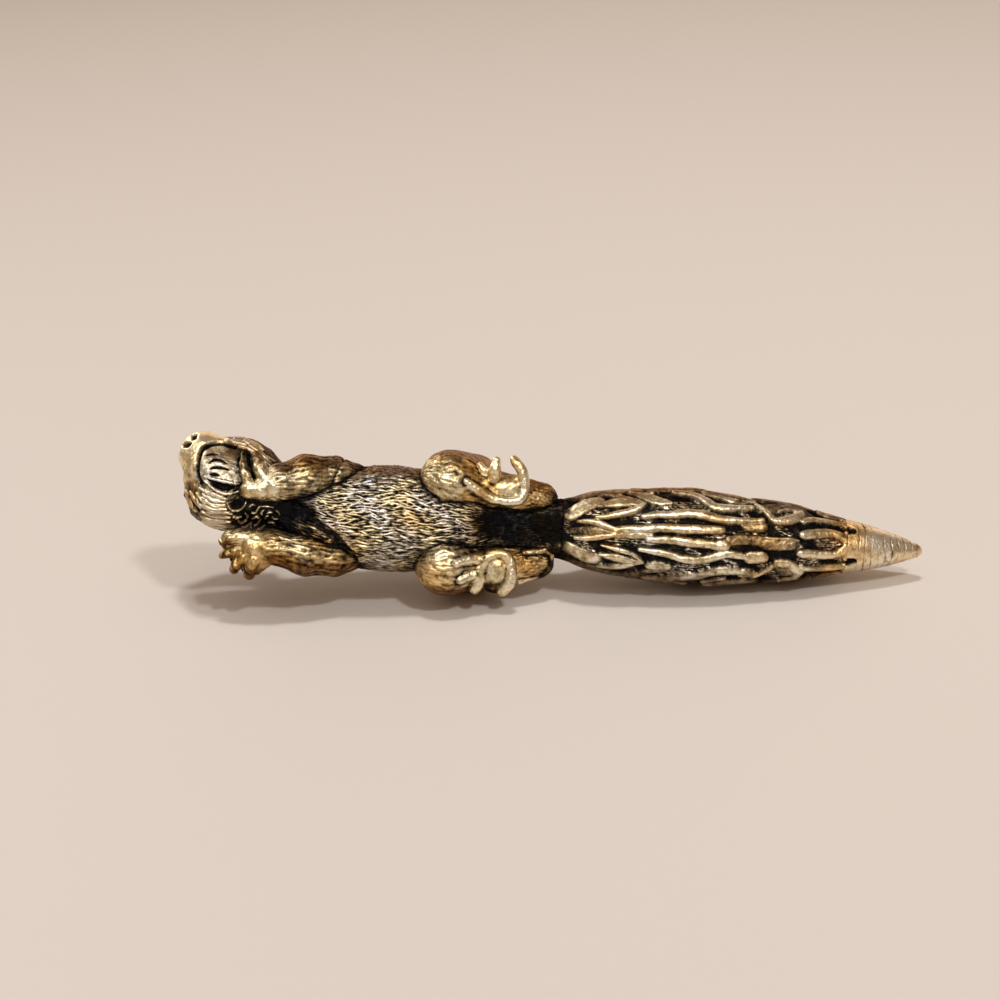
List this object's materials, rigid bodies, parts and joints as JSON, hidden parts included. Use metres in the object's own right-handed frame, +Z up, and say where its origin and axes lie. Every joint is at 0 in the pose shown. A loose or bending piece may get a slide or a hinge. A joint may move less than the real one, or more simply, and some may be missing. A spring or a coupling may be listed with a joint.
{
  "type": "squirrel figurine",
  "caption": "Cast brass squirrel lying on its side with its head thrown back, one paw at its cheek, and a straight carved tail that ends in a grooved cone.",
  "frame": {"origin": "middle of the bounding box, on the table that the figurine lies on", "axes": "+X from the head towards the tail tip, +Z up, belly turned towards -Y"},
  "size_m": [0.0802, 0.0138, 0.0181],
  "materials": {
    "brass": "antique, dark in the recesses"
  },
  "bodies": {
    "root": {"torso": "brass", "head": "brass", "left_arm": "brass", "right_arm": "brass", "left_hind_leg": "brass", "right_hind_leg": "brass", "tail_plume": "brass", "tail_tip": "brass"}
  },
  "joints": []
}
